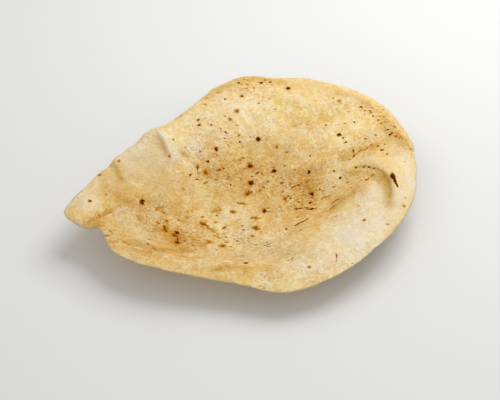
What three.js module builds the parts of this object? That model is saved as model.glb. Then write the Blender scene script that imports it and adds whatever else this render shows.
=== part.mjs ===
// Rumali roti: one thin, soft, hand-stretched wheat flatbread.
// It is a single sheet that has set in a sagged form. A low bowl lies towards the front left, a wide
// shelf behind and to the right of it, and the edge hangs down at the back and turns down at the
// front. Pleats run in from the edge where the spare rim gathers.
// Millimetres, +Z up, with the origin under the middle of the bread, at the level that it rests on.
import * as THREE from "three";

// Driving dimensions
const THICKNESS = 1.8; // of the baked sheet
const FLOOR_LONG = 46; // half length of the flat spot at the bottom of the bowl
const FLOOR_SHORT = 16; // half width of that spot
const FLOOR_TURN = THREE.MathUtils.degToRad(20); // the spot's long axis, from +X
const FLOOR_SOFT = 1.7; // how gently the wall leaves the flat spot
const PLAIN_RUN = 45; // run of a wall that rises evenly; one with a longer run levels out into a shelf
const LEAST_LEVEL = 1.1; // how much even the shortest wall levels out at its crest
const LEAST_ROLL = 1; // how near to the edge the crest may come between two stations
const FOLD_FREE = 20; // height above the floor from which a fold has its full rise

// The rim, station by station, anticlockwise from the right end, seen from above.
// x and y are the cut edge, measured from the middle of the flat spot. top is the height of the
// rim's crest, roll is how far in from the edge the crest lies, and hang is the edge's drop below it.
const RIM = [
  { x: 156, y: 4, top: 35, roll: 14, hang: 3 }, // right end
  { x: 164, y: 62, top: 38, roll: 16, hang: 7 },
  { x: 164, y: 110, top: 40, roll: 22, hang: 24 },
  { x: 145, y: 156, top: 42, roll: 29, hang: 42 }, // back right, hanging to the floor
  { x: 109, y: 175, top: 42, roll: 26, hang: 34 }, // drawn up and in between two folds
  { x: 72, y: 193, top: 42, roll: 31, hang: 42 }, // back, hanging to the floor
  { x: 44, y: 188, top: 42, roll: 25, hang: 35 },
  { x: 14, y: 196, top: 43, roll: 29, hang: 43 },
  { x: -18, y: 172, top: 43, roll: 22, hang: 20 },
  { x: -42, y: 126, top: 41, roll: 6, hang: 2 }, // back left, a plain rising edge
  { x: -80, y: 87, top: 37, roll: 3, hang: 0 },
  { x: -114, y: 44, top: 38, roll: 3, hang: 0 },
  { x: -135, y: 7, top: 37, roll: 3, hang: 0 },
  { x: -148, y: -16, top: 35, roll: 4, hang: 1 }, // left tip
  { x: -126, y: -32, top: 31, roll: 5, hang: 2 },
  { x: -115, y: -37, top: 30, roll: 5, hang: 1 }, // notch
  { x: -100, y: -59, top: 29, roll: 6, hang: 1 }, // front left
  { x: -62, y: -76, top: 28, roll: 9, hang: 1 },
  { x: 2, y: -88, top: 25, roll: 14, hang: 3 }, // front, turned down
  { x: 42, y: -96, top: 25, roll: 18, hang: 4 },
  { x: 83, y: -81, top: 27, roll: 16, hang: 3 }, // front right
  { x: 133, y: -37, top: 32, roll: 12, hang: 2 },
];

// Folds are ridges (rise above 0) and valleys (below 0) that follow a bent line on the plan, given
// by its start, the point that it bends towards and its end. left and right are its half widths on
// either side, seen along the line. A fold is full height at an end on the rim and dies out at an
// inner end: fadeIn and fadeOut are the shares of the line over which it does so.
const FOLDS = [
  { // back left pleat, which follows the edge and then bends in
    line: [[-92, 72], [-66, 104], [-50, 43]],
    rise: 6, left: 10, right: 9, fadeIn: 0.2, fadeOut: 0.5,
  },
  { // pocket inside it
    line: [[-94, 60], [-84, 50], [-62, 20]],
    rise: -6, left: 13, right: 15, fadeIn: 0.3, fadeOut: 0.7,
  },
  { // left crease
    line: [[-116, 46], [-107, 31], [-92, 14]],
    rise: -5, left: 9, right: 6, fadeIn: 0.3, fadeOut: 0.6,
  },
  { // left tip swell
    line: [[-137, -13], [-126, -6], [-108, 2]],
    rise: 3, left: 14, right: 12, fadeIn: 0.3, fadeOut: 0.8,
  },
  { // front left pleat
    line: [[-115, -38], [-108, -22], [-88, 0]],
    rise: 8, left: 7, right: 9, fadeIn: 0, fadeOut: 0.8,
  },
  { // right ridge, which bends round to follow the edge
    line: [[88, 48], [151, 59], [142, -22]],
    rise: 5, left: 16, right: 7, fadeIn: 0.4, fadeOut: 0.4,
  },
  { // crease behind it
    line: [[146, 92], [120, 73], [90, 60]],
    rise: -5, left: 9, right: 9, fadeIn: 0.2, fadeOut: 0.5,
  },
  { // pocket in front of it
    line: [[106, 34], [139, 43], [127, -12]],
    rise: -4, left: 8, right: 15, fadeIn: 0.7, fadeOut: 0.4,
  },
  { // valley at the foot of the front right wall
    line: [[96, 40], [78, 18], [23, -8]],
    rise: -5, left: 16, right: 15, fadeIn: 0.5, fadeOut: 0.5,
  },
];

// Mesh fineness
const SECTORS = 160; // cells round the rim, halved twice towards the middle
const HALVE_AT = [0.2, 0.45]; // shares of the radius inside which the cells are twice as wide
const INNER_RINGS = 5;
const OUTER_RINGS = 15; // closer together, over the folds and the roll of the rim
const CLOSE_FROM = 0.45; // share of the radius where the closer rings start
const LINE_STEPS = 14; // straight pieces that a fold's line is followed in

const edgeCurve = new THREE.CatmullRomCurve3(
  RIM.map((s) => new THREE.Vector3(s.x, s.y, 0)),
  true,
);
const crestCurve = new THREE.CatmullRomCurve3(
  RIM.map((s) => new THREE.Vector3(s.top, s.roll, s.hang)),
  true,
);
const foldLines = FOLDS.map((fold) => ({
  ...fold,
  points: new THREE.QuadraticBezierCurve(
    ...fold.line.map((point) => new THREE.Vector2(...point)),
  ).getPoints(LINE_STEPS),
}));

// 0 to 1 with a level start and end
function ease(t) {
  return THREE.MathUtils.smoothstep(t, 0, 1);
}

// Radius of the flat spot in the direction of a point on the plan
function floorRadius(x, y) {
  const turned = Math.atan2(y, x) - FLOOR_TURN;
  return 1 / Math.hypot(Math.cos(turned) / FLOOR_LONG, Math.sin(turned) / FLOOR_SHORT);
}

// Height of the underside without folds, a share of the way out to one point of the rim
function bowlHeight(share, edge, crest) {
  const reach = Math.hypot(edge.x, edge.y);
  const out = share * reach;
  const floor = floorRadius(edge.x, edge.y);
  const [top, roll] = [crest.x, Math.max(crest.y, LEAST_ROLL)];
  const hang = THREE.MathUtils.clamp(crest.z, 0, top);
  const wall = reach - roll - floor;
  const climbed = THREE.MathUtils.clamp((out - floor) / wall, 0, 1);
  const level = Math.max(LEAST_LEVEL, wall / PLAIN_RUN);
  const past = Math.max(0, out - floor - wall) / roll;
  return top * (1 - (1 - climbed ** FLOOR_SOFT) ** level) - hang * past * past;
}

// Height that one fold adds at a point on the plan
function foldHeight(fold, point) {
  let nearest = { distance: Infinity };
  for (let i = 0; i < LINE_STEPS; i++) {
    const along = fold.points[i + 1].clone().sub(fold.points[i]);
    const offset = point.clone().sub(fold.points[i]);
    const t = THREE.MathUtils.clamp(offset.dot(along) / along.lengthSq(), 0, 1);
    const side = along.cross(offset);
    const distance = offset.addScaledVector(along, -t).length();
    if (distance < nearest.distance) nearest = { distance, side, t: (i + t) / LINE_STEPS };
  }
  const aside = nearest.distance / (nearest.side > 0 ? fold.left : fold.right);
  const fadeIn = fold.fadeIn ? ease(nearest.t / fold.fadeIn) : 1;
  const fadeOut = fold.fadeOut ? ease((1 - nearest.t) / fold.fadeOut) : 1;
  return fold.rise * fadeIn * fadeOut * Math.exp(-aside * aside);
}

// A point of the underside: turn is 0 to 1 round the rim, share is 0 to 1 from the middle out
function undersidePoint(turn, share) {
  const t = edgeCurve.getUtoTmapping(turn);
  const edge = edgeCurve.getPoint(t);
  const crest = crestCurve.getPoint(t);
  const plan = new THREE.Vector2(edge.x * share, edge.y * share);
  const height = bowlHeight(share, edge, crest);
  const folds = foldLines.reduce((sum, fold) => sum + foldHeight(fold, plan), 0);
  return new THREE.Vector3(plan.x, plan.y, height + folds * ease(height / FOLD_FREE));
}

// Shares of the radius at which the rings lie, from the middle out
function ringShares() {
  const inner = Array.from({ length: INNER_RINGS }, (_, i) => (CLOSE_FROM * (i + 1)) / INNER_RINGS);
  const outer = Array.from(
    { length: OUTER_RINGS },
    (_, i) => CLOSE_FROM + ((1 - CLOSE_FROM) * (i + 1)) / OUTER_RINGS,
  );
  return [...inner, ...outer];
}

// Cells round a ring
function sectorsAt(share) {
  return SECTORS / 2 ** HALVE_AT.filter((limit) => share < limit).length;
}

// The underside as points and triangles, with the rim's own ring listed last
function undersideGrid() {
  const points = [new THREE.Vector3(0, 0, 0)];
  const triangles = [];
  let inner = { start: 0, count: 1 };
  for (const share of ringShares()) {
    const outer = { start: points.length, count: sectorsAt(share) };
    for (let i = 0; i < outer.count; i++) points.push(undersidePoint(i / outer.count, share));
    joinRings(points, triangles, inner, outer);
    inner = outer;
  }
  return { points, triangles, rim: inner };
}

// Triangles between two rings, where the outer one has as many points, twice as many, or closes a fan.
// A cell with four corners is split along its more level diagonal, so that creases stay smooth.
function joinRings(points, triangles, inner, outer) {
  const ratio = outer.count / inner.count;
  const innerIndex = (i) => inner.start + (Math.floor(i / ratio) % inner.count);
  for (let i = 0; i < outer.count; i++) {
    const a = outer.start + i;
    const b = outer.start + ((i + 1) % outer.count);
    const c = innerIndex(i);
    const d = innerIndex(i + 1);
    if (c === d) triangles.push([c, a, b]);
    else if (Math.abs(points[c].z - points[b].z) < Math.abs(points[a].z - points[d].z)) {
      triangles.push([c, a, b], [c, b, d]);
    } else triangles.push([c, a, d], [a, b, d]);
  }
}

// The sheet: the underside, the same triangles again one thickness above it, and a wall round the rim
function sheetGeometry() {
  const { points, triangles, rim } = undersideGrid();
  const under = new THREE.BufferGeometry().setFromPoints(points).setIndex(triangles.flat());
  under.computeVertexNormals();
  const normals = under.getAttribute("normal");
  const upper = points.map((point, i) =>
    new THREE.Vector3().fromBufferAttribute(normals, i).multiplyScalar(THICKNESS).add(point),
  );
  const rise = points.length;
  const faces = triangles.flatMap(([a, b, c]) => [a + rise, b + rise, c + rise, a, c, b]);
  for (let i = 0; i < rim.count; i++) {
    const a = rim.start + i;
    const b = rim.start + ((i + 1) % rim.count);
    faces.push(a, b, b + rise, a, b + rise, a + rise);
  }
  return new THREE.BufferGeometry().setFromPoints([...points, ...upper]).setIndex(faces);
}

// One solid, moved so that the origin is under the middle of its box
function rotiMesh() {
  const geometry = sheetGeometry();
  geometry.computeVertexNormals();
  geometry.computeBoundingBox();
  const middle = geometry.boundingBox.getCenter(new THREE.Vector3());
  const dough = new THREE.MeshStandardMaterial({ color: 0xe3bd80, roughness: 0.75, metalness: 0 });
  const mesh = new THREE.Mesh(geometry, dough);
  mesh.name = "roti";
  mesh.position.set(-middle.x, -middle.y, -geometry.boundingBox.min.z);
  return mesh;
}

const roti = new THREE.Group();
roti.add(rotiMesh());

export default roti;
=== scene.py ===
import bpy
import math
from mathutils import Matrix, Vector, kdtree, noise
from mathutils.bvhtree import BVHTree


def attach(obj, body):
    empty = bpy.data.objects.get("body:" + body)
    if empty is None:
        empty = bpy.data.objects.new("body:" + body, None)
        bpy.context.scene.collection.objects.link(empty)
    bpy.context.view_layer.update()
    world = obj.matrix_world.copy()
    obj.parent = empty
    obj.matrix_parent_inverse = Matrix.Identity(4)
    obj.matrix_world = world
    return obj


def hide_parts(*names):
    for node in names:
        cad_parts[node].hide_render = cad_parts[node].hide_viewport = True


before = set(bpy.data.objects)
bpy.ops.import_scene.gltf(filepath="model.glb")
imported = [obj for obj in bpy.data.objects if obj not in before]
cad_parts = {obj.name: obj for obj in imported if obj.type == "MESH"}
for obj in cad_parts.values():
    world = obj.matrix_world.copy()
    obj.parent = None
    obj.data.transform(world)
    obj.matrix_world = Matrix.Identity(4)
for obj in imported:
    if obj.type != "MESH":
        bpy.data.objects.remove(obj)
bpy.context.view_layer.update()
bpy.ops.object.select_all(action="DESELECT")
print("frame loaded:", ", ".join(sorted(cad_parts)))

mm = 0.001  # creases and marks are given in mm

# Camera

shot = dict(
    aim=(0.00295, -0.02442, 0.010),  # what lies in the middle of the picture
    rise=43,  # degrees above the floor
    away=0.884,
    lens=70,
    sensor=36,
    wide=500,  # picture size in pixels
    high=400,
    edge=0.035,  # height of the bread's edge
)


def placeCamera():
    rise = math.radians(shot["rise"])
    back = Vector((0, -math.cos(rise), math.sin(rise)))
    bpy.ops.object.camera_add(
        location=Vector(shot["aim"]) + back * shot["away"],
        rotation=(math.pi / 2 - rise, 0, 0),
    )
    made = bpy.context.object
    made.name = "shotCamera"
    made.data.lens = shot["lens"]
    made.data.sensor_width = shot["sensor"]
    bpy.context.scene.camera = made
    bpy.context.view_layer.update()
    return made


camera = placeCamera()
print("camera placed")


def surfaceOf(piece):
    return BVHTree.FromObject(piece, bpy.context.evaluated_depsgraph_get())


def seenAt(surface, pixel):  # the point of the bread that shows at a pixel
    focal = shot["lens"] / shot["sensor"] * shot["wide"]
    ray = Vector((pixel[0] - shot["wide"] / 2, shot["high"] / 2 - pixel[1], -focal))
    ray = camera.matrix_world.to_3x3() @ ray.normalized()
    hit = surface.ray_cast(camera.location, ray)[0]
    if hit is None:  # just off the edge
        beside = camera.location + ray * ((shot["edge"] - camera.location.z) / ray.z)
        hit = surface.find_nearest(beside)[0]
    return hit


# Sheet of bread

sheetLook = dict(
    thick=0.0018,
    weld=1e-5,
    levels=2,  # subdivision
    quadAngle=70,  # triangles of the solid that lie within this angle become one quad
    rimAngle=55,  # the cut edge turns by more than this
    level=0.9,  # a face that looks up more than this lies flat
    stillBelow=0.002,  # what rests on the floor keeps its level
    freeAbove=0.016,
    waves=[  # size and height of the soft unevenness
        dict(size=0.036, height=0.0010),
        dict(size=0.013, height=0.0005),
        dict(size=0.0055, height=0.00032),
    ],
    hem=dict(behind=0.04, slope=0.8, soft=0.3),  # where the sheet hangs down
    fold=dict(size=0.019, reach=0.011, start=0.042),  # folds that run down the hanging edge
    seed=3,  # of the vector noise, which is else different each time
    pulls=[  # size and reach of the unevenness along the sheet, which shows at its edge
        dict(size=0.019, reach=0.0006),
        dict(size=0.006, reach=0.0004),
    ],
    creaseReach=3,  # in half widths
    creaseFade=0.25,  # share of a crease that fades out at each end
)

# Small creases and ridges, as lines of pixels. Rise and half widths are in mm.
creases = [
    dict(line=[(139, 144), (147, 135), (155, 131), (162, 137), (168, 149), (175, 164)],
         rise=2.0, left=3.0, right=1.4),  # back left lip
    dict(line=[(150, 139), (156, 136), (162, 143), (166, 153), (171, 165)],
         rise=-1.3, left=1.1, right=2.6),
    dict(line=[(111, 161), (118, 175), (129, 191)], rise=-1.3, left=1.3, right=2.2),  # left crease
    dict(line=[(115, 161), (121, 171), (127, 182)], rise=0.9, left=2.0, right=1.1),
    dict(line=[(92, 227), (104, 219), (115, 213), (126, 209), (134, 207)],
         rise=2.6, left=1.3, right=2.6),  # front left pleat
    dict(line=[(85, 223), (95, 219), (105, 214), (115, 209), (126, 205), (133, 203)],
         rise=-1.8, left=2.2, right=1.2),
    dict(line=[(340, 180), (352, 175), (365, 174), (375, 178), (381, 188)],
         rise=2.0, left=5.0, right=6.0),  # under the arch
    dict(line=[(344, 171), (354, 168), (365, 167), (376, 169), (384, 174), (389, 182), (390, 193),
               (388, 205)], rise=-1.5, left=1.1, right=3.4),  # lip at the right
    dict(line=[(376, 141), (365, 148), (352, 156), (335, 163), (318, 171), (306, 180), (296, 188)],
         rise=-1.2, left=3.6, right=3.2),  # valley above the arch
    dict(line=[(356, 178), (338, 194), (318, 212), (290, 229), (262, 240)],
         rise=-1.1, left=4.5, right=3.5),  # foot of the front right wall
    dict(line=[(135, 245), (165, 253), (200, 258), (240, 262)], rise=1.0, left=1.6, right=2.0),
    dict(line=[(150, 256), (185, 262), (225, 268)], rise=0.9, left=1.5, right=1.8),
    dict(line=[(182, 249), (215, 254), (252, 257)], rise=-0.9, left=1.6, right=1.6),
    dict(line=[(296, 227), (318, 216), (342, 202)], rise=-0.5, left=1.3, right=1.5),
    dict(line=[(304, 238), (330, 224), (354, 207)], rise=0.5, left=1.6, right=1.3),
    dict(line=[(282, 216), (300, 208), (320, 196)], rise=-0.5, left=1.4, right=1.4),
]


def copyNode(nodeName, pieceName):
    piece = bpy.data.objects.new(pieceName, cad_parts[nodeName].data.copy())
    bpy.context.scene.collection.objects.link(piece)
    bpy.ops.object.select_all(action="DESELECT")
    piece.select_set(True)
    bpy.context.view_layer.objects.active = piece
    bpy.ops.object.mode_set(mode="EDIT")
    bpy.ops.mesh.select_all(action="SELECT")
    bpy.ops.mesh.remove_doubles(threshold=sheetLook["weld"])
    bpy.ops.mesh.tris_convert_to_quads(
        face_threshold=math.radians(sheetLook["quadAngle"]),
        shape_threshold=math.radians(sheetLook["quadAngle"]),
    )
    bpy.ops.mesh.customdata_custom_splitnormals_clear()
    bpy.ops.object.mode_set(mode="OBJECT")
    piece.data.materials.clear()
    return piece


def markUpper(piece):  # a vertex group for the upper face
    bpy.ops.object.mode_set(mode="EDIT")
    bpy.ops.mesh.select_mode(type="FACE")
    bpy.ops.mesh.select_all(action="DESELECT")
    bpy.ops.object.mode_set(mode="OBJECT")
    lying = [face for face in piece.data.polygons if face.normal.z > sheetLook["level"]]
    min(lying, key=lambda face: face.center.length).select = True
    bpy.ops.object.mode_set(mode="EDIT")
    bpy.ops.mesh.faces_select_linked_flat(sharpness=math.radians(sheetLook["rimAngle"]))
    bpy.ops.object.vertex_group_add()
    bpy.ops.object.vertex_group_assign()
    bpy.ops.object.mode_set(mode="OBJECT")


def upperWeights(piece):  # 1 on the upper face, 0 on the under face
    return [vertex.groups[0].weight if vertex.groups else 0.0 for vertex in piece.data.vertices]


def applyModifier(piece, kind, **settings):
    made = piece.modifiers.new(kind.lower(), kind)
    for name, value in settings.items():
        setattr(made, name, value)
    bpy.ops.object.modifier_apply(modifier=made.name)


def smoothLine(points, step=0.001):  # a soft curve through a few points
    if len(points) == 1:
        return points
    ends = [2 * points[0] - points[1], *points, 2 * points[-1] - points[-2]]
    line = []
    for a, b, c, d in zip(ends, ends[1:], ends[2:], ends[3:]):
        count = max(2, int((c - b).length / step))
        for i in range(count):
            t = i / count
            line.append(0.5 * (2 * b + (c - a) * t + (2 * a - 5 * b + 4 * c - d) * t * t
                               + (3 * b - a - 3 * c + d) * t ** 3))
    line.append(points[-1])
    return line


def pointTree(points):
    tree = kdtree.KDTree(len(points))
    for i, point in enumerate(points):
        tree.insert(point, i)
    tree.balance()
    return tree


def nearBox(vertices, line, reach):  # the vertices that may lie within reach of a line
    low = [min(point[axis] for point in line) - reach for axis in range(3)]
    high = [max(point[axis] for point in line) + reach for axis in range(3)]
    return [v for v in vertices if all(l < c < h for l, c, h in zip(low, v.co, high))]


def softStep(value):
    value = min(1, max(0, value))
    return value * value * (3 - 2 * value)


def pressCrease(piece, surface, crease):
    line = smoothLine([seenAt(surface, pixel) for pixel in crease["line"]])
    tree = pointTree(line)
    upper = upperWeights(piece)
    reach = sheetLook["creaseReach"] * max(crease["left"], crease["right"]) * mm
    fadeLength = sheetLook["creaseFade"] * len(line)
    moves = []
    for vertex in nearBox(piece.data.vertices, line, reach):
        onTop = upper[vertex.index] > 0.5
        facing = vertex.normal if onTop else -vertex.normal
        above = vertex.co if onTop else vertex.co + facing * sheetLook["thick"]
        point, i, distance = tree.find(above)
        if distance > reach:
            continue
        along = line[min(i + 1, len(line) - 1)] - line[max(i - 1, 0)]
        toLeft = facing.cross(along).dot(above - point) > 0
        half = crease["left" if toLeft else "right"] * mm
        fade = softStep(min(i, len(line) - 1 - i) / fadeLength)
        amount = crease["rise"] * mm * math.exp(-(distance / half) ** 2) * fade
        moves.append((vertex.index, facing * amount))
    for index, move in moves:
        piece.data.vertices[index].co += move


def fallAway(facing, place):  # 1 where the sheet falls away to the back
    hem = sheetLook["hem"]
    slope = facing.y / max(facing.z, 0.01)
    return softStep((slope - hem["slope"]) / hem["soft"]) * (place.y > hem["behind"])


def ripple(piece):  # soft unevenness, the same on both faces
    span = sheetLook["freeAbove"] - sheetLook["stillBelow"]
    fold = sheetLook["fold"]
    noise.seed_set(sheetLook["seed"])
    moves = []
    for vertex, upper in zip(piece.data.vertices, upperWeights(piece)):
        facing = vertex.normal if upper > 0.5 else -vertex.normal
        middle = vertex.co - vertex.normal * (sheetLook["thick"] / 2)
        move = facing * sum(wave["height"] * noise.noise(middle / wave["size"])
                            for wave in sheetLook["waves"])
        outward = Vector((facing.x, facing.y, 0)) * fallAway(facing, middle)
        deep = softStep(1 - middle.z / fold["start"])
        swing = noise.noise(middle.to_2d().to_3d() / fold["size"])
        move += outward * (deep * fold["reach"] * swing)
        for pull in sheetLook["pulls"]:
            move += noise.noise_vector(middle / pull["size"]) * pull["reach"]
        move.z *= min(1, max(0, (vertex.co.z - sheetLook["stillBelow"]) / span))
        moves.append(move)
    for vertex, move in zip(piece.data.vertices, moves):
        vertex.co += move


def makeSheet():
    piece = copyNode("roti", "rotiSheet")
    markUpper(piece)
    applyModifier(piece, "SUBSURF", levels=sheetLook["levels"], render_levels=sheetLook["levels"])
    ripple(piece)
    surface = surfaceOf(piece)
    for crease in creases:
        pressCrease(piece, surface, crease)
    for vertex in piece.data.vertices:
        vertex.co.z = max(vertex.co.z, 0)  # it rests on the floor
    bpy.ops.object.shade_smooth()
    return piece


sheet = makeSheet()
sheetSurface = surfaceOf(sheet)
print("sheet shaped:", len(sheet.data.polygons), "faces")

# Shader maths


class Wire:  # a socket that can stand in sums
    tree = None

    def __init__(self, socket):
        self.socket = socket

    @classmethod
    def node(cls, kind, settings, sockets, out=0):
        made = cls.tree.nodes.new("ShaderNode" + kind)
        for name, value in settings.items():
            setattr(made, name, value)
        for name, value in sockets.items():
            if isinstance(value, Wire):
                cls.tree.links.new(value.socket, made.inputs[name])
            else:
                made.inputs[name].default_value = value
        return cls(made.outputs[out])

    def math(self, operation, *values):
        return Wire.node("Math", dict(operation=operation), dict(enumerate(values)))

    def __add__(self, other):
        return self.math("ADD", self, other)

    def __radd__(self, other):
        return self.math("ADD", other, self)

    def __sub__(self, other):
        return self.math("SUBTRACT", self, other)

    def __rsub__(self, other):
        return self.math("SUBTRACT", other, self)

    def __mul__(self, other):
        return self.math("MULTIPLY", self, other)

    def __rmul__(self, other):
        return self.math("MULTIPLY", other, self)

    def __truediv__(self, other):
        return self.math("DIVIDE", self, other)

    def __abs__(self):
        return self.math("ABSOLUTE", self)

    def least(self, other):
        return self.math("MINIMUM", self, other)

    def most(self, other):
        return self.math("MAXIMUM", self, other)

    def clamped(self):
        return self.most(0.0).least(1.0)

    def rise(self, low, high):  # 0 below low, 1 above high, smooth between
        settings = dict(interpolation_type="SMOOTHSTEP")
        return Wire.node("MapRange", settings, {"Value": self, "From Min": low, "From Max": high})


def hexColour(text):
    parts = [int(text[i:i + 2], 16) / 255 for i in (0, 2, 4)]
    return [p / 12.92 if p <= 0.04045 else ((p + 0.055) / 1.055) ** 2.4 for p in parts] + [1]


def mixColour(factor, first, second, mode="MIX"):
    settings = dict(data_type="RGBA", blend_type=mode, clamp_factor=True)
    return Wire.node("Mix", settings, {0: factor, 6: first, 7: second}, out=2)


def attribute(name):
    return Wire.node("Attribute", dict(attribute_name=name), {}, out="Fac")


def vectorMath(operation, *values, out="Vector"):
    settings = dict(operation=operation)
    return Wire.node("VectorMath", settings, dict(enumerate(values)), out=out)


def scaled(vector, factor):
    return Wire.node("VectorMath", dict(operation="SCALE"), {0: vector, "Scale": factor})


# Baked dough

doughLook = dict(
    golden=hexColour("e7bc6b"),
    cream=hexColour("f5dea4"),
    lace=hexColour("fcefca"),
    toastedAndShaded=hexColour("cb9844"),
    pale=hexColour("f0e1c2"),
    olive=hexColour("c69e42"),
    dull=hexColour("ccb688"),
    peach=hexColour("f0cd9c"),
    butter=hexColour("ecd07e"),
    pore=hexColour("b07a2c"),
    gilt=hexColour("c4953a"),
    amber=hexColour("be7c14"),
    brown=hexColour("853e00"),
    char=hexColour("4e1e00"),
    rich=(1.0, 0.96, 0.80, 1),  # these two change how strong the colour is
    faded=(1.0, 1.03, 1.16, 1),
    faceShift=5.3,  # gives the two faces patterns of their own
    drift=dict(size=0.009, reach=0.007),  # sizes in metres, and how far a pattern is pushed about
    bent=dict(size=0.004, reach=0.0022),
    torn=dict(size=0.0036, reach=0.0045),
    ragged=dict(size=0.0035, reach=0.003),
    frayed=dict(size=0.0011, reach=0.0018),
    flow=dict(turn=-0.3, squash=0.55),  # flecks are longer one way
    drawn=dict(turn=-0.35, squash=0.2),  # bands of the near wall
    zone=0.034,
    blob=0.0095,
    tint=0.017,
    strong=0.0085,
    squiggle=0.0080,
    worm=0.0040,
    glint=0.0026,
    hole=0.0019,
    grain=0.0011,
    fine=0.0015,
    coarse=0.0042,
    thread=0.0032,
    band=0.0034,
    crinkle=0.0048,
    fleckCell=0.0046,
    fleckWide=0.22,  # share of a cell
    burnCell=0.021,
    rough=0.66,
    shine=0.03,
    relief=0.0008,
    bump=0.7,
    patchReach=2.5,  # in radii
)

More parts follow.
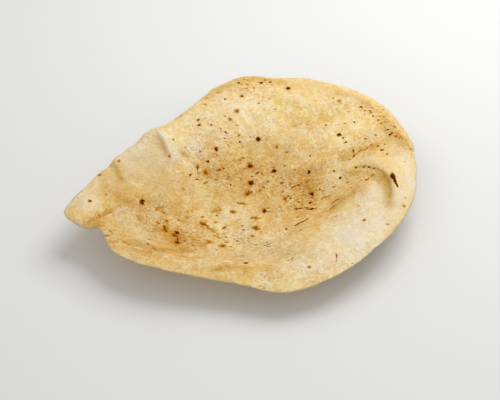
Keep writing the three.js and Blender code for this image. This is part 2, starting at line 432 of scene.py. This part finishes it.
# Soft patches along lines of pixels, with a radius in mm
patches = dict(
    toastAndShade=[  # browner: toasted dough, and in the marked patches painted shade
        dict(line=[(222, 172), (250, 177), (290, 180)], radius=24, amount=0.46),  # far wall: toasted, and painted shade at the bottom of the trough
        dict(line=[(255, 140), (285, 146)], radius=10, amount=0.22),
        # painted shade where the far wall folds
        dict(line=[(313, 172), (310, 185), (307, 198)], radius=11, amount=0.70),
        # painted shadow at the foot of the left tip
        dict(line=[(112, 182), (125, 200), (145, 209)], radius=9, amount=0.28),
        dict(line=[(160, 234), (176, 240), (194, 242)], radius=17, amount=0.66),
        dict(line=[(185, 206), (215, 200), (262, 202)], radius=15, amount=0.22),
        dict(line=[(300, 212), (332, 210)], radius=8, amount=0.30),
        dict(line=[(98, 223), (112, 222), (122, 228)], radius=7, amount=0.45),
        dict(line=[(396, 134), (404, 142)], radius=7, amount=0.60),
        dict(line=[(125, 212), (150, 215), (172, 205)], radius=20, amount=0.20),
        dict(line=[(115, 240), (150, 253), (190, 259)], radius=12, amount=0.42),  # near wall: toasted, and partly painted shade
        dict(line=[(142, 245), (166, 250), (184, 251)], radius=8, amount=0.85),
        dict(line=[(205, 268), (240, 269), (275, 270)], radius=11, amount=0.36),
        dict(line=[(250, 224), (282, 224), (312, 230)], radius=16, amount=0.34),
        # painted shade under the front-left pleat
        dict(line=[(88, 222), (100, 217), (114, 211)], radius=3.5, amount=0.48),
        dict(line=[(104, 180), (111, 197)], radius=8, amount=0.24),
        dict(line=[(138, 180), (156, 183), (170, 177)], radius=11, amount=0.24),
        # painted shadow beside the back-left lip
        dict(line=[(152, 135), (158, 142), (164, 153), (168, 162)], radius=3, amount=0.35),
        dict(line=[(336, 202), (350, 195), (360, 186)], radius=9, amount=0.70),  # under the arch: painted shade
        dict(line=[(205, 98), (225, 86), (255, 79), (280, 82)], radius=7, amount=0.42),  # back
        dict(line=[(280, 82), (310, 85), (340, 92)], radius=6, amount=0.20),
        dict(line=[(222, 91), (245, 88)], radius=6, amount=0.28),
        dict(line=[(338, 94), (354, 97), (364, 102)], radius=5, amount=0.35),
        dict(line=[(300, 125), (320, 123)], radius=8, amount=0.25),
        dict(line=[(372, 140), (386, 142), (400, 145)], radius=8, amount=0.22),
        dict(line=[(178, 118), (190, 109)], radius=4, amount=0.35),
        dict(line=[(228, 266), (242, 268)], radius=7, amount=0.22),
        dict(line=[(180, 269), (189, 272)], radius=5, amount=0.22),
        dict(line=[(108, 191), (118, 196), (128, 201)], radius=7, amount=0.24),
        dict(line=[(336, 188), (348, 184)], radius=6, amount=0.32),
        dict(line=[(240, 258), (262, 254), (280, 256)], radius=10, amount=0.22),
        dict(line=[(262, 208), (276, 214)], radius=7, amount=0.25),
        dict(line=[(364, 156), (384, 155), (400, 154)], radius=4, amount=0.22),
        dict(line=[(112, 163), (116, 171), (121, 180)], radius=2.0, amount=0.38),  # left crease: painted shade in the crease
        dict(line=[(365, 103), (380, 116), (391, 134)], radius=8, amount=0.44),  # back right
        dict(line=[(345, 156), (360, 150), (375, 146)], radius=8, amount=0.62),
        dict(line=[(352, 172), (366, 171), (376, 174)], radius=4, amount=0.36),  # right lip: this and the next two are painted shadow under the lip
        dict(line=[(382, 179), (387, 190), (389, 204)], radius=5, amount=0.34),
        dict(line=[(383, 174), (389, 184), (390, 196)], radius=2.5, amount=0.60),
        # painted shade along the left crease
        dict(line=[(113, 164), (120, 178), (131, 193), (150, 201)], radius=5, amount=0.30),
        dict(line=[(66, 214), (80, 224), (95, 226)], radius=9, amount=0.24),  # left tip
    ],
    pale=[  # underbaked and whiter, and in the marked patches painted highlight and painted light
        dict(line=[(377, 200), (372, 215), (350, 232)], radius=21, amount=1.05),  # front right
        # paler dough, and painted light on the rim that curls down
        dict(line=[(312, 262), (340, 260), (370, 240)], radius=20, amount=0.54),
        dict(line=[(404, 160), (410, 178), (409, 194)], radius=12, amount=0.58),  # right lip: paler dough, and painted light on the roll's shaded side
        dict(line=[(90, 203)], radius=9, amount=0.85),
        dict(line=[(80, 199), (95, 184), (106, 174)], radius=7, amount=0.25),
        dict(line=[(128, 156), (150, 146), (172, 150), (192, 152)],
             radius=14, amount=0.60),  # left pocket
        dict(line=[(224, 218), (240, 213), (246, 229), (232, 233)], radius=8, amount=0.55),
        dict(line=[(215, 118), (240, 112), (262, 126)], radius=14, amount=0.32),
        dict(line=[(295, 82), (320, 87), (340, 93)], radius=6, amount=0.35),
        dict(line=[(348, 163), (365, 160), (382, 164)], radius=5, amount=0.24),
        dict(line=[(142, 212), (160, 215)], radius=11, amount=0.25),
        # this and the next are painted highlight on the lit side of the back-left lip
        dict(line=[(163, 133), (170, 142), (177, 156)], radius=4, amount=0.70),
        dict(line=[(141, 147), (147, 136), (155, 132), (163, 137), (169, 148)],
             radius=2, amount=0.70),
        dict(line=[(205, 130), (230, 133), (252, 128)], radius=12, amount=0.22),
        dict(line=[(180, 130), (205, 112), (240, 100)], radius=15, amount=0.26),
        # painted highlight on the front-left pleat's ridge
        dict(line=[(117, 213), (125, 210)], radius=4, amount=0.60),
    ],
    olive=[
        dict(line=[(270, 95), (295, 107), (325, 113), (342, 104)], radius=10, amount=0.36),
        dict(line=[(182, 153), (188, 157)], radius=3, amount=0.80),
        dict(line=[(130, 152), (146, 143), (158, 149)], radius=9, amount=0.22),
        # this and the next are painted shade in the tuck under the right lip
        dict(line=[(345, 174), (361, 172)], radius=4.5, amount=0.75),
        dict(line=[(376, 174), (386, 186), (389, 204)], radius=5, amount=0.72),
        dict(line=[(345, 157), (362, 150), (376, 146)], radius=7, amount=0.40),
        dict(line=[(388, 140), (405, 142)], radius=8, amount=0.36),
        dict(line=[(195, 150), (215, 165), (205, 180)], radius=14, amount=0.12),
        dict(line=[(276, 150), (282, 168), (280, 185)], radius=10, amount=0.16),
        dict(line=[(262, 142), (285, 146)], radius=9, amount=0.15),
    ],
    dull=[  # greyer
        dict(line=[(78, 198), (95, 183), (108, 172)], radius=9, amount=0.26),
        dict(line=[(132, 172), (148, 172), (156, 186)], radius=18, amount=0.46),  # left pocket
        dict(line=[(128, 226), (145, 234), (140, 244)], radius=12, amount=0.52),
        dict(line=[(205, 254), (225, 256), (245, 258)], radius=10, amount=0.48),
        dict(line=[(250, 246), (275, 248), (302, 254)], radius=17, amount=0.62),
        dict(line=[(345, 215), (370, 200), (345, 245)], radius=16, amount=0.25),
    ],
    calm=[  # smooth skin
        dict(line=[(402, 160), (407, 180), (402, 210)], radius=14, amount=0.85),
        dict(line=[(350, 163), (370, 160), (390, 158)], radius=8, amount=0.60),
        dict(line=[(130, 165), (150, 155), (158, 180)], radius=18, amount=0.65),
        dict(line=[(75, 212), (90, 200), (110, 190)], radius=18, amount=0.45),
        dict(line=[(205, 98), (225, 86), (255, 79), (300, 83), (340, 91)], radius=6, amount=0.70),
        dict(line=[(365, 102), (385, 117), (398, 134)], radius=8, amount=0.60),
        dict(line=[(380, 200), (362, 224), (336, 244)], radius=17, amount=0.45),
    ],
    flecks=[  # share of small brown flecks
        dict(line=[(205, 163), (240, 172), (270, 185), (300, 190)], radius=24, amount=0.32),
        dict(line=[(160, 228), (200, 235), (245, 240)], radius=20, amount=0.34),
        dict(line=[(300, 205), (320, 195), (340, 183)], radius=14, amount=0.16),
        dict(line=[(205, 102), (225, 92), (250, 86)], radius=12, amount=0.16),
        dict(line=[(372, 110), (386, 122), (397, 135)], radius=7, amount=0.50),
        dict(line=[(352, 156), (370, 144)], radius=6, amount=0.30),
        dict(line=[(120, 240), (150, 250), (190, 256)], radius=12, amount=0.22),
        dict(line=[(100, 212), (125, 208)], radius=9, amount=0.18),
        dict(line=[(205, 118), (225, 126), (238, 142)], radius=15, amount=0.18),
    ],
    streaky=[  # drawn out along the near wall
        dict(line=[(118, 242), (150, 252), (200, 258), (250, 263)], radius=12, amount=0.90),
        dict(line=[(290, 224), (318, 208), (340, 194)], radius=9, amount=0.50),
    ],
)

# Burns by pixel, with a radius in mm
charSpots = [
    dict(radius=0.9, at=[
        (356, 168), (254, 88), (225, 99), (211, 125), (221, 129), (240, 142), (310, 156),
        (333, 98), (354, 122), (371, 112), (373, 116), (378, 120), (381, 123), (385, 144),
        (387, 154), (364, 167), (369, 167), (374, 168), (348, 182), (320, 189), (307, 182),
        (231, 185), (238, 203), (268, 208), (310, 203), (286, 229), (237, 241), (224, 228),
        (190, 175), (148, 244), (343, 138), (358, 206), (268, 197), (388, 130), (392, 133),
        (395, 137), (399, 138), (402, 139), (378, 146), (346, 142), (334, 171),
    ]),
    dict(radius=1.4, at=[
        (239, 83), (270, 82), (361, 107), (198, 120), (199, 125), (309, 172), (340, 178),
        (382, 150), (312, 209), (208, 161), (390, 135),
    ]),
    dict(radius=1.9, at=[
        (261, 83), (216, 149), (339, 135), (250, 166), (177, 233), (246, 263), (258, 139),
        (312, 194),
    ]),
    dict(radius=2.2, at=[(288, 88), (274, 171), (264, 211), (251, 183)]),
    dict(radius=2.5, at=[(142, 202)]),
]
rustSpots = [
    dict(radius=1.4, at=[
        (309, 267), (404, 206), (183, 189), (90, 201), (167, 221), (119, 161), (99, 175),
        (239, 135), (397, 136), (401, 137), (411, 149), (301, 230), (364, 220), (253, 236),
    ]),
    dict(radius=1.8, at=[
        (242, 96), (230, 119), (237, 111), (339, 101), (260, 190), (256, 218), (209, 242),
        (233, 212), (219, 170), (198, 167), (285, 199), (176, 246), (277, 147),
    ]),
    dict(radius=2.8, at=[
        (250, 166), (251, 183), (203, 224), (223, 246), (206, 173), (165, 230), (256, 228),
        (248, 194),
    ]),
    dict(radius=4.4, at=[(176, 235), (177, 242)]),
]
scorches = [  # amber patches
    dict(radius=3.4, at=[
        (237, 111), (339, 101), (277, 147), (140, 218), (209, 242), (222, 246), (233, 212),
        (218, 268), (285, 199), (256, 218), (256, 228), (244, 205), (156, 249), (327, 197),
    ]),
    dict(radius=5.2, at=[
        (250, 167), (251, 184), (312, 187), (176, 244), (165, 229), (217, 210), (203, 225),
        (161, 208), (206, 173), (248, 194), (128, 243), (215, 232),
    ]),
    dict(radius=8.5, at=[(176, 236)]),
]
tears = [  # the dark one on the right lip
    dict(wide=2.0, thin=0.5, lines=[((392, 175), (398, 187))]),
]
streaks = [  # brown, from pixel to pixel, with the radius in mm at each end
    dict(wide=1.0, thin=0.7, lines=[
        ((296, 225), (308, 219)), ((332, 203), (339, 199)), ((299, 185), (291, 188)),
        ((363, 151), (372, 144)), ((353, 157), (361, 150)), ((297, 209), (302, 208)),
        ((307, 209), (312, 209)), ((176, 233), (178, 241)), ((164, 226), (166, 232)),
        ((201, 223), (207, 226)), ((247, 195), (252, 192)), ((254, 228), (259, 230)),
    ]),
    dict(wide=0.7, thin=0.4, lines=[
        ((353, 150), (355, 156)), ((330, 209), (336, 205)), ((366, 180), (374, 174)),
        ((264, 246), (271, 243)), ((197, 166), (198, 174)), ((216, 171), (221, 169)),
        ((153, 248), (159, 251)), ((219, 246), (226, 246)), ((336, 254), (337, 261)),
        ((251, 218), (257, 218)), ((285, 198), (287, 202)), ((205, 171), (207, 175)),
        ((240, 203), (245, 204)), ((230, 212), (234, 211)), ((207, 227), (212, 230)),
    ]),
]
stainsAndShadeLines = [  # amber stains, and a few painted shade lines along folds
    dict(wide=1.4, thin=0.9, lines=[
        ((212, 212), (221, 209)), ((201, 222), (206, 225)), ((240, 203), (247, 205)),
        ((252, 227), (260, 229)), ((252, 218), (261, 218)), ((284, 197), (287, 202)),
        ((205, 169), (208, 177)), ((156, 209), (166, 207)), ((137, 216), (141, 220)),
        ((306, 186), (314, 192)), ((214, 236), (220, 238)), ((231, 213), (235, 212)),
        ((208, 243), (212, 242)), ((324, 198), (330, 195)), ((244, 197), (247, 193)),
    ]),
    dict(wide=0.9, thin=0.5, lines=[
        ((207, 225), (216, 232)), ((186, 218), (195, 216)), ((251, 163), (253, 159)),
        ((242, 158), (248, 157)), ((190, 243), (199, 240)), ((216, 269), (221, 268)),
        # the first two lines here are painted shade under the front-left pleat
        ((88, 222), (101, 217)), ((101, 217), (114, 211)), ((299, 232), (303, 229)),
        ((236, 221), (241, 219)), ((123, 241), (130, 246)), ((187, 212), (193, 211)),
        ((292, 258), (293, 270)),
    ]),
    # brown line under the right lip: burnt dots, and painted shadow under the lip
    dict(wide=0.5, thin=0.5, lines=[
        ((354, 167), (365, 166)), ((365, 166), (379, 169)), ((379, 169), (386, 175)),
    ]),
]


def patchField(piece, surface, group):  # sum of soft patches at each vertex
    total = [0.0] * len(piece.data.vertices)
    for patch in group:
        line = smoothLine([seenAt(surface, pixel) for pixel in patch["line"]])
        tree = pointTree(line)
        radius = patch["radius"] * mm
        for vertex in nearBox(piece.data.vertices, line, doughLook["patchReach"] * radius):
            near = tree.find(vertex.co)[2] / radius
            total[vertex.index] += patch["amount"] * math.exp(-near * near)
    return total


def hemField(piece):
    return [fallAway(vertex.normal, vertex.co) for vertex in piece.data.vertices]


def paintFields(piece, surface):
    fields = {name: patchField(piece, surface, group) for name, group in patches.items()}
    fields["upper"] = upperWeights(piece)
    fields["hem"] = hemField(piece)
    for name, values in fields.items():
        field = piece.data.attributes.new(name, "FLOAT", "POINT")
        field.data.foreach_set("value", values)


def nearestSpot(place, surface, groups):  # 1 in the middle, 0 at the edge, below 0 outside
    best = None
    for group in groups:
        closest = None
        for pixel in group["at"]:
            distance = vectorMath("DISTANCE", place, seenAt(surface, pixel), out="Value")
            closest = distance if closest is None else closest.least(distance)
        near = 1 - closest / (group["radius"] * mm)
        best = near if best is None else best.most(near)
    return best


def nearestStreak(place, surface, groups):  # the same for short lines
    best = None
    for group in groups:
        for first, last in group["lines"]:
            start = seenAt(surface, first)
            along = seenAt(surface, last) - start
            offset = vectorMath("SUBTRACT", place, start)
            perLength = along / along.length_squared
            share = vectorMath("DOT_PRODUCT", offset, perLength, out="Value").clamped()
            gap = vectorMath("DISTANCE", offset, scaled(along, share), out="Value")
            radius = (group["wide"] + share * (group["thin"] - group["wide"])) * mm
            near = 1 - gap / radius
            best = near if best is None else best.most(near)
    return best


def doughMaterial(surface):
    look = doughLook
    made = bpy.data.materials.new("bakedDough")
    made.use_nodes = True
    Wire.tree = made.node_tree
    shader = made.node_tree.nodes["Principled BSDF"]
    place = Wire.node("TexCoord", {}, {}, out="Object")
    toastAndShade, pale, olive, dull, calm, flecks, streaky = [attribute(name) for name in patches]
    upper, hem = attribute("upper"), attribute("hem")
    side = upper * look["faceShift"]

    def noiseAt(where, size, detail=2.0, roughness=0.5, seed=0.0, out="Fac"):
        sockets = {"Vector": where, "W": side + seed, "Scale": 1 / size, "Detail": detail,
                   "Roughness": roughness}
        return Wire.node("TexNoise", dict(noise_dimensions="4D"), sockets, out=out)

    def shaken(where, shake, seed):  # pushes a pattern about
        push = noiseAt(where, shake["size"], seed=seed, out="Color")
        push = vectorMath("SUBTRACT", push, (0.5, 0.5, 0.5))
        return vectorMath("ADD", where, scaled(push, shake["reach"]))

    def stretched(where, way):
        sockets = {"Vector": where, "Rotation": (0, 0, way["turn"]),
                   "Scale": (way["squash"], 1, 1)}
        return Wire.node("Mapping", {}, sockets)

    def cellKind(cells):  # a value from 0 to 1 for each cell
        spot = Wire(cells.socket.node.outputs["Position"])
        return Wire.node("TexWhiteNoise", {}, {"Vector": spot})

    # cream and golden mottling
    drifted = shaken(place, look["drift"], 1.0)
    bare = (1 - upper).most(hem)  # the underside and the hanging edge
    lively = (1 - calm - bare * 0.35).clamped()
    zones = noiseAt(place, look["zone"], 2, 0.5, 2.0)
    blobs = noiseAt(drifted, look["blob"], 3, 0.55, 3.0)
    creamy = (blobs + zones * 0.6 - 0.30).rise(0.40, 0.60)
    outline = 1 - abs(blobs - 0.5).rise(0.004, 0.030)
    tint = noiseAt(drifted, look["tint"], 2, 0.5, 14.0)
    squiggle = noiseAt(drifted, look["squiggle"], 1, 0.5, 4.0)
    squiggle = 1 - abs(squiggle - 0.5).rise(0.008, 0.065)
    worm = noiseAt(drifted, look["worm"], 2, 0.5, 8.0)
    worm = 1 - abs(worm - 0.5).rise(0.0, 0.035)
    glints = noiseAt(drifted, look["glint"], 2, 0.6, 5.0).rise(0.54, 0.68)
    holes = noiseAt(place, look["hole"], 2, 0.6, 6.0).rise(0.54, 0.66)
    holes = holes * (tint * 5 - 1.9).clamped()
    grain = noiseAt(place, look["grain"], 2, 0.6, 7.0)
    colour = mixColour(0.5 + lively * (creamy - 0.5) * 0.6, look["golden"], look["cream"])
    colour = mixColour(tint.rise(0.52, 0.66) * 0.2, colour, look["peach"])
    colour = mixColour((1 - tint.rise(0.34, 0.48)) * 0.4, colour, look["butter"])
    colour = mixColour(pale * (0.75 + creamy * 0.35), colour, look["pale"])
    colour = mixColour(toastAndShade * (0.95 + grain * 0.5 - creamy * 0.4), colour, look["toastedAndShaded"])
    colour = mixColour(olive * (0.5 + blobs), colour, look["olive"])
    colour = mixColour(dull, colour, look["dull"])
    strong = noiseAt(drifted, look["strong"], 2, 0.5, 20.0)
    colour = mixColour((1 - strong.rise(0.38, 0.48)) * 0.5, colour, look["rich"], "MULTIPLY")
    colour = mixColour(strong.rise(0.52, 0.60) * 0.5, colour, look["faded"], "MULTIPLY")
    colour = mixColour((1 - tint.rise(0.37, 0.49)) * 0.5, colour, look["rich"], "MULTIPLY")
    colour = mixColour(tint.rise(0.51, 0.61) * 0.5, colour, look["faded"], "MULTIPLY")
    colour = mixColour(outline * lively * 0.12, colour, look["toastedAndShaded"])
    colour = mixColour(squiggle * lively * (1 - toastAndShade * 2).clamped() * 0.42, colour, look["lace"])
    colour = mixColour(glints * (0.1 + lively * 0.3) * (1 - toastAndShade * 0.7), colour, look["lace"])
    colour = mixColour(worm * lively * (0.1 + toastAndShade * 0.7), colour, look["pore"])
    colour = mixColour(holes * lively * (1 - pale).clamped() * 0.5, colour, look["pore"])
    # the cut edge is paler, and is lightened further as painted light against the shade of the
    # curled rim
    cutEdgePaleAndLit = 1 - abs(upper * 2 - 1)
    colour = mixColour(cutEdgePaleAndLit * 0.6, colour, look["lace"])

    # small brown flecks
    turned = stretched(place, look["flow"])
    fine = noiseAt(turned, look["fine"], 2, 0.6, 11.0) - 0.5
    busy = (flecks * 2 + 0.08).clamped()
    colour = mixColour(fine.rise(0.03, 0.12) * busy * 0.85, colour, look["pore"])
    colour = mixColour((0 - fine).rise(0.03, 0.12) * busy * 0.5, colour, look["cream"])
    band = noiseAt(stretched(place, look["drawn"]), look["band"], 3, 0.6, 18.0)
    colour = mixColour(band.rise(0.50, 0.60) * streaky * 0.6, colour, look["toastedAndShaded"])
    colour = mixColour((1 - band.rise(0.38, 0.48)) * streaky * 0.6, colour, look["cream"])
    ragged = shaken(shaken(turned, look["ragged"], 9.0), look["frayed"], 10.0)
    onPlan = dict(voronoi_dimensions="2D", feature="F1")
    gap = Wire.node("TexVoronoi", onPlan, {"Vector": ragged, "Scale": 1 / look["fleckCell"]})
    fleckKind = cellKind(gap)
    fleck = (1 - gap / look["fleckWide"]).rise(0.0, 0.5)
    fleck = fleck * (flecks + 0.035 + bare * 0.05 - fleckKind).rise(0.0, 0.03)
    fleckColour = mixColour(grain.rise(0.4, 0.6), look["amber"], look["brown"])
    colour = mixColour(fleck, colour, fleckColour)

    # burns where the picture has them
    coarse = noiseAt(turned, look["coarse"], 3, 0.65, 12.0) - 0.5
    bent = shaken(place, look["bent"], 13.0)
    torn = shaken(place, look["torn"], 16.0)
    char = nearestSpot(bent, surface, charSpots)
    char = char.most(nearestStreak(place, surface, tears)) + fine * 2.6
    rust = nearestSpot(bent, surface, rustSpots) + coarse * 2.2 + fine * 1.3
    scorch = nearestSpot(torn, surface, scorches) + coarse
    thread = noiseAt(turned, look["thread"], 2, 0.5, 17.0)
    thread = 1 - abs(thread - 0.5).rise(0.015, 0.07)
    smear = scorch.rise(-0.1, 0.4) * thread.most((coarse + fine * 0.5).rise(0.03, 0.12))
    streak = nearestStreak(bent, surface, streaks) + fine * 2.5
    stainAndShade = nearestStreak(torn, surface, stainsAndShadeLines) + fine * 2.0
    colour = mixColour(smear * upper * 0.9, colour, look["gilt"])
    colour = mixColour(stainAndShade.rise(-0.3, 0.3) * upper * 0.9, colour, look["gilt"])
    colour = mixColour(stainAndShade.rise(0.4, 0.9) * upper * 0.8, colour, look["amber"])
    colour = mixColour(rust.rise(-0.9, -0.2) * upper * 0.45, colour, look["gilt"])
    colour = mixColour(rust.rise(-0.1, 0.2) * upper * 0.85, colour, look["amber"])
    colour = mixColour(rust.rise(0.35, 0.6) * upper, colour, look["brown"])
    colour = mixColour(rust.rise(0.8, 1.1) * upper, colour, look["char"])
    colour = mixColour(streak.rise(-0.4, 0.1) * upper * 0.75, colour, look["amber"])
    colour = mixColour(streak.rise(0.1, 0.4) * upper, colour, look["brown"])
    colour = mixColour(char.rise(-0.6, -0.1) * upper * 0.6, colour, look["amber"])
    colour = mixColour(char.rise(-0.15, 0.1) * upper, colour, look["brown"])
    colour = mixColour(char.rise(0.15, 0.4) * upper, colour, look["char"])

    # burns on the underside and on the hanging edge
    inSpace = dict(voronoi_dimensions="3D", feature="F1")
    gap = Wire.node("TexVoronoi", inSpace, {"Vector": ragged, "Scale": 1 / look["burnCell"]})
    burn = 1 - gap / (0.03 + cellKind(gap) * 0.10) + fine
    colour = mixColour(burn.rise(-0.8, 0.1) * bare * 0.7, colour, look["amber"])
    colour = mixColour(burn.rise(-0.1, 0.3) * bare, colour, look["brown"])
    colour = mixColour(burn.rise(0.2, 0.6) * bare, colour, look["char"])

    made.node_tree.links.new(colour.socket, shader.inputs["Base Color"])
    shader.inputs["Roughness"].default_value = look["rough"]
    shader.inputs["Specular IOR Level"].default_value = look["shine"]
    crinkle = noiseAt(drifted, look["crinkle"], 3, 0.6, 15.0)
    height = blobs * 0.7 + crinkle * 1.2 + squiggle * 0.3 - holes * 0.3 - worm * 0.3 + grain * 0.3
    sockets = {"Strength": look["bump"], "Distance": look["relief"], "Height": height}
    bump = Wire.node("Bump", {}, sockets)
    made.node_tree.links.new(bump.socket, shader.inputs["Normal"])
    return made


paintFields(sheet, sheetSurface)
sheet.data.materials.append(doughMaterial(sheetSurface))
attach(sheet, "root")
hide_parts("roti")
print("dough material made")

# Floor and light

stageLook = dict(
    floorSize=30,
    floorColour=hexColour("e4e4e2"),
    floorRough=0.8,
    sky=(1.0, 1.0, 1.0, 1),
    skyStrength=0.50,
    keyLight=dict(kind="AREA", place=(0.42, 0.5, 0.95), power=8.6, soft=dict(size=0.8)),
    fillLight=dict(kind="SUN", place=(-0.5, -1.1, 0.62), power=0.58, soft=dict(angle=0.9)),
)


def makeFloor():
    bpy.ops.mesh.primitive_plane_add(size=stageLook["floorSize"])
    floor = bpy.context.object
    floor.name = "floor"
    paint = bpy.data.materials.new("floorPaint")
    paint.use_nodes = True
    shader = paint.node_tree.nodes["Principled BSDF"]
    shader.inputs["Base Color"].default_value = stageLook["floorColour"]
    shader.inputs["Roughness"].default_value = stageLook["floorRough"]
    floor.data.materials.append(paint)


def makeLight(name):
    look = stageLook[name]
    aim = Vector(shot["aim"]) - Vector(look["place"])
    bpy.ops.object.light_add(type=look["kind"], location=look["place"],
                             rotation=aim.to_track_quat("-Z", "Y").to_euler())
    made = bpy.context.object
    made.name = name
    made.data.energy = look["power"]
    for setting, value in look["soft"].items():
        setattr(made.data, setting, value)


def makeSky():
    world = bpy.data.worlds.new("studio")
    world.use_nodes = True
    sky = world.node_tree.nodes["Background"]
    sky.inputs["Color"].default_value = stageLook["sky"]
    sky.inputs["Strength"].default_value = stageLook["skyStrength"]
    bpy.context.scene.world = world
    bpy.context.scene.view_settings.view_transform = "Standard"


makeFloor()
makeSky()
makeLight("keyLight")
makeLight("fillLight")
print("stage lit")
